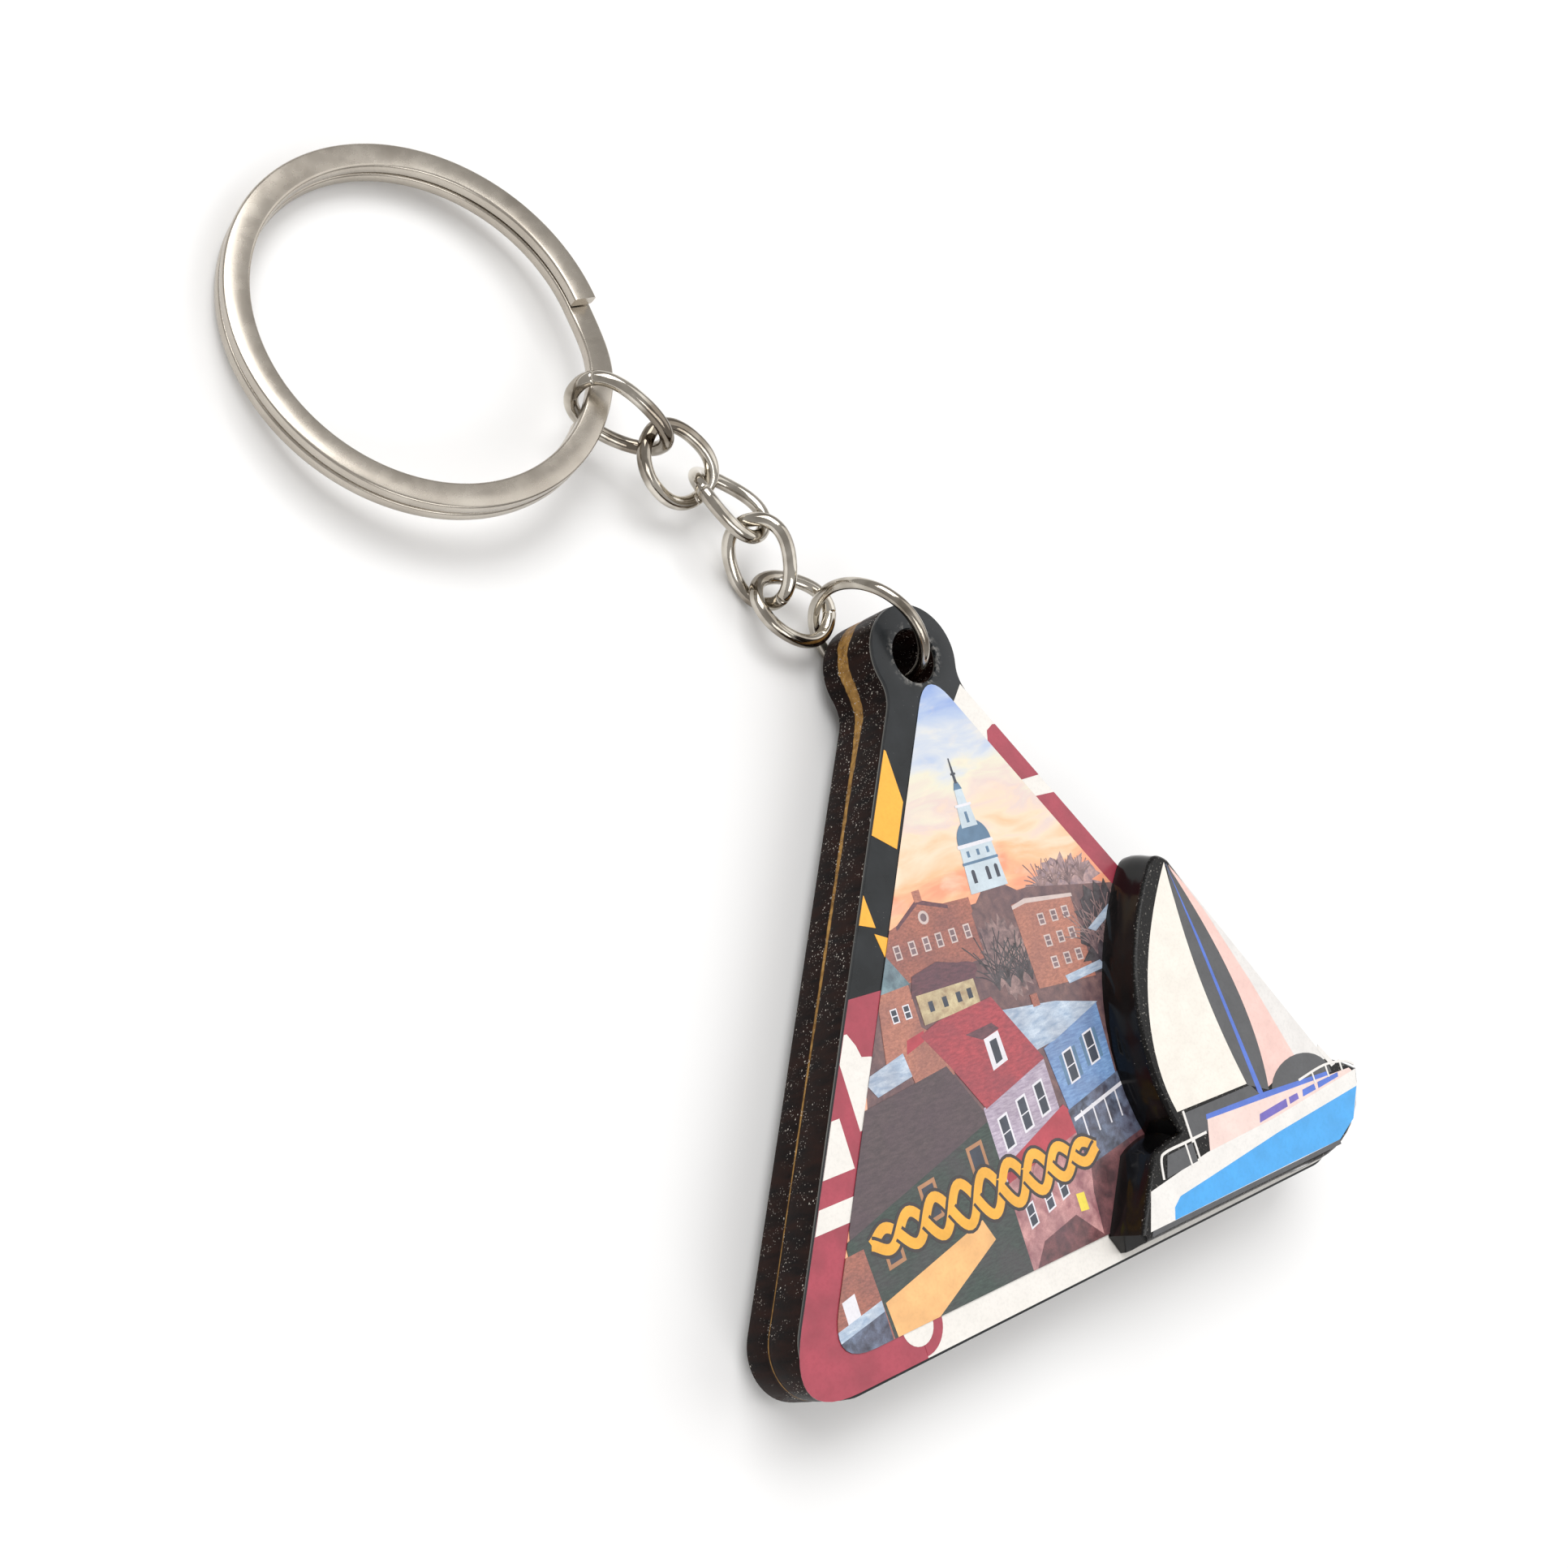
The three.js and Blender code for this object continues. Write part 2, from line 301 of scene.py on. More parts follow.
def cut_edge():
    """Cut pressed board under black lacquer: brown saw marks, the tan core, and pale dust and
    glitter that gather towards the tab."""
    look = Look("pressed board edge", 0.38, specular=0.06)
    marks = look.noise(1.3, 5.0, look.stretched((1, 1, 0.25)))
    base = look.blend(marks, 0.35, "0f0807", 0.75, "2b1914")
    fibres = look.noise(2.0, 5.0)
    tan = look.blend(fibres, 0.3, "76552b", 0.7, "b48a4c")
    body = look.mix(tan_showing(look), base, tan)
    upper = look.span(look.axis("Y"), -MIDDLE * MM, (BOARD_HEIGHT - MIDDLE) * MM, 0.0, 0.12)
    patchy = look.maths("ADD", look.noise(0.7, 2.0), upper)
    dust = look.span(look.specks(2.4), 0.12, 0.19, 1, 0)
    glitter = look.span(look.specks(4.6), 0.13, 0.22, 1, 0)
    dust = look.maths("MULTIPLY", dust, look.span(patchy, 0.57, 0.64, 0, 0.9))
    glitter = look.maths("MULTIPLY", glitter, look.span(patchy, 0.48, 0.6, 0, 0.6))
    pale = look.maths("MAXIMUM", dust, glitter)
    look.colour(look.mix(pale, body, linear("c9c2b8")))
    look.roughness(marks, 0.25, 0.5)
    look.bump(look.maths("ADD", fibres, pale), 0.03, 0.4)
    return look.material


def worn_charcoal():
    """The charcoal ink of the board's face, scuffed pale round the drilled hole."""
    look = Look("charcoal ink", 0.3, coat=0.1, specular=0.3)
    soft = look.noise(0.5, 3.0)
    base = look.blend(soft, 0.3, "1b1e20", 0.7, "282b2e")
    near = look.span(from_hole(look), (HOLE_RADIUS + 0.1) * MM, (HOLE_RADIUS + 0.7) * MM, 1, 0)
    ragged = look.span(look.noise(2.2, 4.0), 0.5, 0.66, 0, 0.5)
    dust = look.span(look.specks(2.2), 0.0, 0.1, 1, 0)
    dust = look.maths("MULTIPLY", dust, look.span(look.noise(0.5, 2.0), 0.5, 0.6, 0, 0.5))
    scuff = look.maths("MAXIMUM", look.maths("MULTIPLY", near, ragged), dust)
    look.colour(look.mix(scuff, base, linear("a8a5a0")))
    look.roughness(soft, 0.25, 0.4)
    look.bump(soft, 0.02)
    return look.material


def satin_nickel():
    """The split ring's flat strip: softer than the wires, rubbed along its length."""
    look = Look("satin nickel", 0.3, metallic=1.0)
    patches = look.noise(0.3, 3.0)
    rubbed = look.noise(0.8, 3.0, look.stretched((1, 1, 6)))
    look.colour(look.blend(patches, 0.3, "b3aba0", 0.7, "c5beb3"))
    look.roughness(rubbed, 0.24, 0.3, 0.35)
    return look.material


def grey_film():
    look = Look("grey film edge", 0.35, specular=0.3)
    smear = look.noise(0.12, 4.0)
    look.colour(look.blend(smear, 0.35, "4f4e4b", 0.7, "6c6b67"))
    look.roughness(smear, 0.3, 0.45)
    look.bump(smear, 0.02)
    return look.material


def lacquer():
    """Black lacquer, glossy, with a few dust specks and soft ripples."""
    look = Look("boat lacquer", 0.12, coat=0.12, specular=0.25)
    ripples = look.noise(0.35, 2.0)
    base = look.blend(ripples, 0.3, "040404", 0.7, "0b0a0a")
    dust = look.span(look.specks(1.6), 0.0, 0.08, 1, 0)
    rare = look.span(look.noise(0.9, 2.0), 0.58, 0.64, 0, 1)
    look.colour(look.mix(look.maths("MULTIPLY", dust, rare), base, linear("a7a39c")))
    look.roughness(ripples, 0.08, 0.2)
    look.bump(ripples, 0.12, 0.6)
    return look.material


def rough_rim():
    """The ragged dark rim round the boat's face, sparkling with resin grains."""
    look = Look("boat rim", 0.3, coat=0.1, specular=0.2)
    grains = look.noise(5.0, 3.0)
    look.colour(look.blend(grains, 0.62, "0b0a0a", 0.78, "a19d96"))
    look.roughness(grains, 0.15, 0.5)
    look.bump(grains, 0.05, 0.7)
    return look.material


# ---- flat outlines ----


def arc(x, y, radius, start, end, count):
    """Points from the angle start to end, in radians, both included."""
    steps = np.linspace(start, end, count)
    return [(x + radius * math.cos(a), y + radius * math.sin(a)) for a in steps]


def circle(x, y, radius, count):
    return arc(x, y, radius, 0, 2 * math.pi, count + 1)[:-1]


def board_outline(inset):
    """The board's outline anticlockwise, drawn in by inset, as in the CAD part."""
    corner_x = BOARD_HALF_BASE - BOARD_CORNER / math.tan(SIDE_ANGLE / 2)
    along = BOARD_HALF_BASE * math.cos(SIDE_ANGLE) + HOLE_ABOVE_BASE * math.sin(SIDE_ANGLE)
    out = HOLE_ABOVE_BASE * math.cos(SIDE_ANGLE) - BOARD_HALF_BASE * math.sin(SIDE_ANGLE)
    along -= math.sqrt((TAB_RADIUS + NECK_FILLET) ** 2 - (NECK_FILLET - out) ** 2)
    fillet_x = BOARD_HALF_BASE - along * math.cos(SIDE_ANGLE) + NECK_FILLET * math.sin(SIDE_ANGLE)
    fillet_y = along * math.sin(SIDE_ANGLE) + NECK_FILLET * math.cos(SIDE_ANGLE)
    neck = math.atan2(fillet_y - HOLE_ABOVE_BASE, fillet_x)
    normal = math.pi / 2 - SIDE_ANGLE
    corner, fillet, tab = BOARD_CORNER - inset, NECK_FILLET + inset, TAB_RADIUS - inset
    right = arc(corner_x, BOARD_CORNER, corner, -math.pi / 2, normal, 20)
    right += arc(fillet_x, fillet_y, fillet, normal + math.pi, neck + math.pi, 12)
    top = arc(0, HOLE_ABOVE_BASE, tab, neck, math.pi - neck, 40)
    left = [(-x, y) for x, y in reversed(right)]
    return right + top[1:-1] + left


def hole_outline(inset):
    return circle(0, HOLE_ABOVE_BASE, HOLE_RADIUS + inset, 40)


def rounded(corners, radii, count=10):
    """A polygon whose corners are rounded, each by its own radius."""
    points = []
    total = len(corners)
    for i, (corner, radius) in enumerate(zip(corners, radii)):
        here = Vector(corner)
        before = (Vector(corners[i - 1]) - here).normalized()
        after = (Vector(corners[(i + 1) % total]) - here).normalized()
        half = before.angle(after) / 2
        reach = radius / math.tan(half)
        start, end = here + before * reach, here + after * reach
        for step in np.linspace(0, 1, count):
            first = start.lerp(here, step)
            second = here.lerp(end, step)
            point = first.lerp(second, step)
            points.append((point.x, point.y))
    return points


def smooth(points, count=6, closed=True):
    """A smooth curve through the points."""
    total = len(points)
    result = []
    last = total if closed else total - 1
    for i in range(last):
        pick = [(i + k) % total if closed else min(max(i + k, 0), total - 1) for k in (-1, 0, 1, 2)]
        a, b, c, d = [np.array(points[k], float) for k in pick]
        for t in np.linspace(0, 1, count, endpoint=False):
            cubic = (3 * b - a - 3 * c + d) * t**3 + (2 * a - 5 * b + 4 * c - d) * t**2
            result.append(tuple(0.5 * (cubic + (c - a) * t + 2 * b)))
    if not closed:
        result.append(tuple(points[-1]))
    return result


def bezier(start, first, second, end, count=12):
    steps = np.linspace(0, 1, count, endpoint=False)[:, None]
    a, b, c, d = [np.array(p, float) for p in (start, first, second, end)]
    curve = a * (1 - steps) ** 3 + 3 * b * steps * (1 - steps) ** 2
    curve = curve + 3 * c * steps**2 * (1 - steps) + d * steps**3
    return [tuple(p) for p in curve]


def quadratic(start, middle, end, count=10):
    start, middle, end = [np.array(p, float) for p in (start, middle, end)]
    return bezier(start, start + (middle - start) * 2 / 3, end + (middle - end) * 2 / 3, end, count)


def boat_outline(inset):
    """The boat plate's outline anticlockwise, as in the CAD part, drawn in by inset."""
    points = [(1.4, 1.3)]
    points += bezier((22, 1.2), (27, 0.5), (31.4, 2.1), (32.8, 6.8))
    points += quadratic((32.8, 6.8), (31.2, 8), (28.8, 8.9))
    points += [(28.8, 8.9)]
    points += quadratic((17.7, 29), (16.3, 30.4), (15, 29.1))
    points += bezier((15, 29.1), (9.4, 23.5), (6, 16), (8.7, 8))
    points += quadratic((8.7, 8), (7, 8.1), (5, 7.4))
    points += [(5, 7.4), (1.1, 2.1)]
    total = len(points)
    drawn = []
    for i, point in enumerate(points):
        ahead = Vector(points[(i + 1) % total]) - Vector(points[i - 1])
        ahead.normalize()
        drawn.append((point[0] - inset * ahead.y, point[1] + inset * ahead.x))
    return drawn


def clipped(points, region):
    """The part of a polygon inside a convex region given anticlockwise."""
    result = list(points)
    for i, start in enumerate(region):
        end = region[(i + 1) % len(region)]
        edge = (end[0] - start[0], end[1] - start[1])
        kept = []
        for j, here in enumerate(result):
            before = result[j - 1]
            inside = [
                edge[0] * (p[1] - start[1]) - edge[1] * (p[0] - start[0]) for p in (before, here)
            ]
            if (inside[0] < 0) != (inside[1] < 0):
                part = inside[0] / (inside[0] - inside[1])
                kept.append(tuple(before[k] + part * (here[k] - before[k]) for k in (0, 1)))
            if inside[1] >= 0:
                kept.append(here)
        result = kept
        if not result:
            break
    return result


def anticlockwise(points):
    area = sum(a[0] * b[1] - b[0] * a[1] for a, b in zip(points, points[1:] + points[:1]))
    return list(points) if area > 0 else list(reversed(points))


# ---- meshes ----


def metres(x, y, z):
    """From millimetres above the board's bottom edge and back face to the row's frame."""
    return (x * MM, (y - MIDDLE) * MM, z * MM)


def new_object(name, vertices, faces, materials, picks=None, smooth_angle=None):
    mesh = bpy.data.meshes.new(name)
    mesh.from_pydata(vertices, [], faces)
    for material in materials:
        mesh.materials.append(material)
    if picks:
        mesh.polygons.foreach_set("material_index", picks)
    if smooth_angle:
        mesh.shade_smooth()
        mesh.set_sharp_from_angle(angle=smooth_angle)
    mesh.update()
    piece = bpy.data.objects.new(name, mesh)
    bpy.context.scene.collection.objects.link(piece)
    return piece


def cap(loops, offsets, upwards):
    """Triangles that fill the first loop, less the others. offsets are their first vertices."""
    flat = [[Vector((x, y, 0)) for x, y in loop] for loop in loops]
    index = [offset + i for loop, offset in zip(loops, offsets) for i in range(len(loop))]
    where = [p for loop in flat for p in loop]
    faces = []
    for a, b, c in tessellate_polygon(flat):
        turn = (where[b] - where[a]).cross(where[c] - where[a]).z
        if (turn > 0) != upwards:
            a, b, c = a, c, b
        faces.append((index[a], index[b], index[c]))
    return faces


def walls(starts, count):
    """Faces between loops of count points, which begin at the given vertices."""
    faces = []
    for low, high in zip(starts, starts[1:]):
        for i in range(count):
            j = (i + 1) % count
            faces.append((low + i, low + j, high + j, high + i))
    return faces


def skin(rows, count):
    """Faces between rows of points that each go once round, and the two end faces."""
    faces = walls(range(0, rows * count, count), count)
    faces.append(tuple(reversed(range(count))))
    faces.append(tuple((rows - 1) * count + k for k in range(count)))
    return faces


def slab(name, outline, profile, material, hole=None):
    """A closed layer. profile is a list of (inset, height) from its bottom rim to its top."""
    vertices, starts, hole_starts = [], [], []
    for inset, height in profile:
        starts.append(len(vertices))
        vertices += [metres(x, y, height) for x, y in outline(inset)]
        if hole:
            hole_starts.append(len(vertices))
            vertices += [metres(x, y, height) for x, y in hole(inset)]
    faces = walls(starts, len(outline(0)))
    if hole:
        faces += [(b, a, d, c) for a, b, c, d in walls(hole_starts, len(hole(0)))]
    for level, upwards in ((0, False), (-1, True)):
        loops = [outline(profile[level][0])]
        offsets = [starts[level]]
        if hole:
            loops.append(hole(profile[level][0]))
            offsets.append(hole_starts[level])
        faces += cap(loops, offsets, upwards)
    return new_object(name, vertices, faces, [material], smooth_angle=math.radians(30))


BORDER_MARGIN = 0.1  # from the board's edge to the printed border
ART_SINK = 0.02  # each printed shape starts this far below the face
ART_STACK = 0.08  # and the last shape painted stands this far above it


def art(name, shapes, region, height):
    """Printed shapes as thin closed prisms. shapes is a list of (material, points), painted in
    order, and each is clipped to the convex region."""
    vertices, faces, picks, materials = [], [], [], []
    for level, (material, points) in enumerate(shapes):
        outline = clipped(anticlockwise(points), region) if region else anticlockwise(points)
        if len(outline) < 3:
            continue
        if material not in materials:
            materials.append(material)
        pick = materials.index(material)
        low, count = len(vertices), len(outline)
        top = height + ART_STACK * (level + 1) / len(shapes)
        vertices += [metres(x, y, height - ART_SINK) for x, y in outline]
        vertices += [metres(x, y, top) for x, y in outline]
        made = walls((low, low + count), count)
        made += cap([outline], [low], False)
        made += cap([outline], [low + count], True)
        faces += made
        picks += [pick] * len(made)
    return new_object(name, vertices, faces, materials, picks)


def tube(name, centres, radius, material, sides=20):
    """A wire along the centres, with softly rounded ends."""
    last = len(centres) - 1
    rings = []
    normal = (centres[1] - centres[0]).orthogonal().normalized()
    for i, centre in enumerate(centres):
        tangent = (centres[min(i + 1, last)] - centres[max(i - 1, 0)]).normalized()
        normal = (normal - tangent * normal.dot(tangent)).normalized()
        rings.append((centre, tangent, normal.copy(), radius))
    soft = radius * 0.25
    ends = ((0, rings[0], -1), (last + 2, rings[-1], 1))
    for place, (centre, tangent, side, _), outwards in ends:
        rings.insert(place, (centre + tangent * soft * outwards, tangent, side, radius - soft))
    vertices = []
    for centre, tangent, side, size in rings:
        other = tangent.cross(side)
        for x, y in circle(0, 0, size, sides):
            vertices.append(centre + side * x + other * y)
    faces = skin(len(rings), sides)
    return new_object(name, vertices, faces, [material], smooth_angle=math.radians(50))


# ---- the wire pieces, placed from the CAD solids ----


def node_points(node):
    return np.array([vertex.co for vertex in frame["nodes"][node].data.vertices])


def spread_axes(points):
    """The directions in which the points spread, from the least to the most."""
    axes = np.linalg.eigh(np.cov((points - points.mean(0)).T))[1]
    return [Vector(axes[:, k]) for k in range(3)]


def link_frame(node, outwards):
    """The centre and the turn of a CAD link: X along it and outwards, Z up through its face."""
    points = node_points(node)
    through, _, along = spread_axes(points)
    if along.dot(outwards) < 0:
        along.negate()
    if through.z < 0:
        through.negate()
    turn = Matrix((along, through.cross(along), through)).transposed()
    inside = (points - points.mean(0)) @ np.array(turn)
    middle = (inside.max(0) + inside.min(0)) / 2
    return Vector(points.mean(0)) + turn @ Vector(middle), turn


def loop_points(length, width, twist, exponent, cut_degrees, count=110):
    """The centre line of a wire loop, from one cut end round to the other."""
    cut_angle = math.radians(cut_degrees)
    cut = CUT_GAP / length
    result = []
    for part in np.linspace(0, 1, count):
        angle = cut_angle + cut + part * 2 * (math.pi - cut)
        cosine, sine = math.cos(angle), math.sin(angle)
        size = (abs(cosine) ** exponent + abs(sine) ** exponent) ** (-1 / exponent)
        across = width / 2 * sine * size
        lean = twist * cosine * size
        point = (length / 2 * cosine * size, across * math.cos(lean), across * math.sin(lean))
        result.append(Vector(point) * MM)
    return result


def make_link(node, length, cut_degrees, outwards, metal):
    centre, turn = link_frame(node, outwards)
    path = loop_points(length, LINK_WIDTH, LINK_TWIST, LINK_SQUARENESS, cut_degrees)
    piece = tube(node + "_wire", [centre + turn @ p for p in path], LINK_WIRE / 2 * MM, metal)
    finish_piece(piece, node, [node])


def make_jump_ring(metal):
    points = node_points("jump_ring")
    centre = Vector(points.mean(0))
    normal = spread_axes(points)[0]
    if normal.x < 0:
        normal.negate()
    level = Vector((0, 0, 1)).cross(normal).normalized()
    turn = Matrix((level, normal.cross(level), normal)).transposed()
    reach = max((Vector(p) - centre).length for p in points)
    middle = 2 * (reach / MM - JUMP_WIRE / 2)
    path = loop_points(middle, middle, 0, 2, JUMP_CUT, 140)
    piece = tube("jump_ring_wire", [centre + turn @ p for p in path], JUMP_WIRE / 2 * MM, metal)
    finish_piece(piece, "jump_ring", ["jump_ring"])


def strip_section():
    """The split ring's flat strip, cut across: its corners are rounded."""
    half, soft = RING_STRIP / 2, RING_SOFT_EDGE
    low, high = soft, RING_TURN - soft
    side = half - soft
    section = []
    for x, y, quarter in ((side, low, -1), (side, high, 0), (-side, high, 1), (-side, low, 2)):
        section += arc(x, y, soft, quarter * math.pi / 2, (quarter + 1) * math.pi / 2, 4)
    return section


def make_split_ring(metal):
    """Two flat turns of one strip, stepping from the lower to the upper layer."""
    hold = [m for m in frame["record"]["mounts"] if m["name"] == "key_ring_hold"][0]
    centre, normal = Vector(hold["pos_m"]), Vector(hold["axis"])
    turn = Vector((0, 0, 1)).rotation_difference(normal).to_matrix()
    rise = RING_TURN + RING_GAP
    section = strip_section()
    steps = np.linspace(0, RING_SWEEP, 340)
    vertices = []
    for turned in steps:
        part = min(max((turned - RING_LOWER_SWEEP) / RING_STEP_SWEEP, 0), 1)
        climbed = part * part * (3 - 2 * part)
        angle = RING_START - turned
        for x, y in section:
            radius = RING_OUTER - RING_STRIP / 2 + x
            height = y + (climbed - 1) * rise - RING_TURN / 2
            place = Vector((radius * math.cos(angle), radius * math.sin(angle), height))
            vertices.append(centre + turn @ place * MM)
    faces = skin(len(steps), len(section))
    piece = new_object("split_ring_strip", vertices, faces, [metal], smooth_angle=math.radians(40))
    finish_piece(piece, "split_ring", ["split_ring"])


def finish_piece(piece, body, nodes=()):
    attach(piece, body)
    if nodes:
        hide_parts(*nodes)


# ---- the board ----


def height_of(node, end):
    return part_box(node)[end].z / MM


def make_layer(node, material, profile):
    """A board layer from its CAD node's bottom to its top. profile is (inset, part of the way)."""
    low, high = height_of(node, 0), height_of(node, 1)
    heights = [(inset, low + part * (high - low)) for inset, part in profile]
    piece = slab(node + "_layer", board_outline, heights, material, hole_outline)
    finish_piece(piece, "fob", [node])


def make_board():
    edge = cut_edge()
    film = grey_film()
    make_layer("back_film", film, [(0.25, 0), (0.08, 0.5), (0.03, 1)])
    make_layer("back_board", edge, [(0.04, 0), (0, 0.15), (0, 0.9), (0.03, 1)])
    make_layer("bond_layer", edge, [(0.03, 0), (0.05, 0.5), (0.03, 1)])
    make_layer("front_board", edge, [(0.03, 0), (0, 0.08), (0, 0.92), (0.04, 1)])
    make_layer("printed_sheet", film, [(0.05, 0), (0.05, 1)])
    rim = [(0.04, 0), (0.05, 0.7), (0.08, 0.92), (0.14, 1)]
    make_layer("clear_coat", worn_charcoal(), rim)


# ---- the printed border and picture ----


def rectangle(x, y, width, height, slope=0.0):
    """A box centred on x, y whose top and bottom edges rise by slope per millimetre."""
    half_w, half_h = width / 2, height / 2
    rise = slope * half_w
    return [
        (x - half_w, y - half_h - rise),
        (x + half_w, y - half_h + rise),
        (x + half_w, y + half_h + rise),
        (x - half_w, y + half_h - rise),
    ]


def window(paint, x, y, width, height, slope, frame_width, colours=("white", "glass")):
    """A framed window with a bar across it. colours are the inks of the frame and the glass."""
    frame_ink, glass_ink = colours
    paint(frame_ink, rectangle(x, y, width + 2 * frame_width, height + 2 * frame_width, slope))
    paint(glass_ink, rectangle(x, y, width, height, slope))
    paint(frame_ink, rectangle(x, y, width, 0.09, slope))


def ribbon(points, width):
    """The outline of a line of the given width along the points."""
    left, right = [], []
    total = len(points) - 1
    for i, point in enumerate(points):
        ahead = Vector(points[min(i + 1, total)]) - Vector(points[max(i - 1, 0)])
        ahead.normalize()
        left.append((point[0] - ahead.y * width / 2, point[1] + ahead.x * width / 2))
        right.append((point[0] + ahead.y * width / 2, point[1] - ahead.x * width / 2))
    return left + right[::-1]


def border_shapes():
    gold = ink("gold ink", "fbb332", 0.05)
    crimson = ink("crimson ink", "a53a4c", 0.14)
    white = ink("white ink", "ece8e2", 0.03)
    crimson_low = [(-12, 26.1), (-19, 26.3), (-45, -3), (-20.2, -3), (-20.2, 6)]
    white_lobe = [(-20, 17), (-20, 23.3), (-19.3, 24), (-18.5, 23.9), (-18, 22.9)]
    white_lobe += [(-17.8, 22), (-16.9, 21.8), (-16.5, 21), (-19, 17)]
    red_bar = [(4.9, 42.5), (5.2, 43.4), (6, 43.8), (7.4, 43.6), (11, 38.9), (7.2, 38.8)]
    return [
        (white, [(2.4, 46.1), (4.2, 47.9), (12, 47), (42, -2), (20, -2)]),
        (white, [(-20.3, -1), (42, -1), (42, 3.6), (-20.3, 3.6)]),
        (crimson, red_bar),
        (crimson, [(8.2, 37.2), (12, 37.1), (19, 27), (13.4, 26.8)]),
        (gold, [(-6.2, 43.6), (-6.1, 39.4), (-8.2, 36), (-10.2, 37.5), (-12, 38.4), (-7.6, 45)]),
        (gold, [(-12.9, 33.5), (-12.7, 30.7), (-14.6, 31.4)]),
        (gold, [(-13, 30.3), (-11.6, 29.6), (-12.7, 28.4)]),
        (crimson, crimson_low),
        (white, white_lobe),
        (white, [(-21.5, 14.7), (-21.5, 18.4), (-26, 18.4), (-28, 14.7)]),
        (white, [(-20, 12.9), (-30, 12.9), (-32, 11.3), (-20, 11.3)]),
        (crimson, arc(-20.2, 2.7, 2.3, -math.pi / 2, 0, 12) + [(-20.2, 3.5)]),
        (white, arc(-20.3, 2.7, 1.5, math.pi, 2 * math.pi, 14)),
    ]


def picture_region():
    """The picture's rounded triangle: its own margin inside each side of the board."""
    left_margin, right_margin, bottom_margin = 2.86, 1.96, 2.55
    slope = BOARD_HEIGHT / BOARD_HALF_BASE
    left, right = left_margin / math.sin(SIDE_ANGLE), right_margin / math.sin(SIDE_ANGLE)
    half = (BOARD_HEIGHT - bottom_margin) / slope
    peak = ((left - right) / 2, BOARD_HEIGHT - slope * (left + right) / 2)
    corners = [(left - half, bottom_margin), (half - right, bottom_margin), peak]
    return rounded(corners, (2.4, 1.0, 2.1))


# The sky's colours, from the horizon to the top.
SKY = [
    (0.0, "f29f7c"),
    (0.14, "f7bf93"),
    (0.3, "f4d9bd"),
    (0.42, "e4cfc8"),
    (0.56, "e7e2cd"),
    (0.7, "d6dadf"),
    (0.84, "b4c4e0"),
    (1.0, "8fa8dc"),
]


# Plain inks: colour, and how much it drifts.
PLAIN_INKS = {
    "white": ("e6e4ea", 0.06),
    "far_frame": ("d2bfba", 0.1),
    "far_glass": ("7d686c", 0.2),
    "glass": ("3d4350", 0.25),
    "tower": ("c8d6df", 0.1),
    "dome": ("5f7f9c", 0.2),
    "shop_roof": ("b2404d", 0.2),
    "awning": ("f0b878", 0.12),
    "sign": ("f2dc4e", 0.1),
    "trim": ("b5835f", 0.15),
    "cord": ("f2b13c", 0.1),
    "cord_edge": ("3a3436", 0.1),
}

# Mottled inks: light and dark colour, mottles per millimetre, and their stretch.
MOTTLED_INKS = {
    "brick": ("bd7766", "8f5b4e", 3.2, (1, 2, 1)),
    "brick_pale": ("cb8873", "a56c5b", 3.2, (1, 2, 1)),
    "trees": ("b3948f", "5c4a4d", 1.6),
    "haze": ("d0aca6", "86747f", 1.9),
    "dark_trees": ("5d5a5c", "201f22", 1.5),
    "mass": ("8d6c68", "5f494d", 1.2),
    "slate": ("625356", "4c4044", 1.4, (1, 3, 1)),
    "red_roof": ("c4525a", "9c3c47", 1.5, (1, 3, 1)),
    "rust_roof": ("7a4f57", "563a43", 1.5, (1, 3, 1)),
    "ice_roof": ("d8e4f1", "9db3cd", 0.9, (1, 3, 1)),
    "teal_roof": ("8aa5ad", "58727c", 1.2),
    "green": ("45564e", "2a3733", 1.5, (1, 4, 1)),
    "blue": ("8fb4e0", "6689bd", 1.2, (1, 5, 1)),
    "lilac": ("d3c6d6", "a595ab", 1.3, (1, 5, 1)),
    "cream": ("e5d5a9", "b39a77", 1.3),
    "shops": ("e0a9a6", "a0666c", 1.0),
    "arcade": ("7b89a3", "353948", 1.1),
    "street": ("8e5a5c", "4f3438", 1.0),
}


def picture_inks():
    """Every ink of the picture by name."""
    inks = {name: ink(name, *values) for name, values in PLAIN_INKS.items()}
    for name, values in MOTTLED_INKS.items():
        inks[name] = mottled_ink(name, *values)
    inks["sky"] = sky_ink(SKY, 30.5, 48)
    return inks


def foliage(paint, name, x, y, wide, tall, seed):
    """A ragged clump of branches."""
    rng = np.random.default_rng(seed)
    count = 44
    points = []
    for k in range(count):
        angle = 2 * math.pi * k / count
        reach = rng.uniform(0.72, 1.0) if k % 2 else rng.uniform(0.95, 1.2)
        points.append((x + wide * reach * math.cos(angle), y + tall * reach * math.sin(angle)))
    paint(name, points)


TWIG_WIDTH = 0.11


def twigs(paint, name, x, y, tall, seed):
    """A bare tree: a trunk and thin branches that fan upwards."""
    rng = np.random.default_rng(seed)
    for k in range(11):
        lean = (k - 5) * 0.2 + rng.uniform(-0.08, 0.08)
        long = tall * rng.uniform(0.7, 1.0) * math.cos(lean * 0.7)
        tip = (x + long * math.sin(lean), y + long * math.cos(lean))
        bend = (x + long * 0.3 * math.sin(lean * 0.4), y + long * 0.45)
        paint(name, ribbon(quadratic((x, y), bend, tip, 6) + [tip], TWIG_WIDTH))


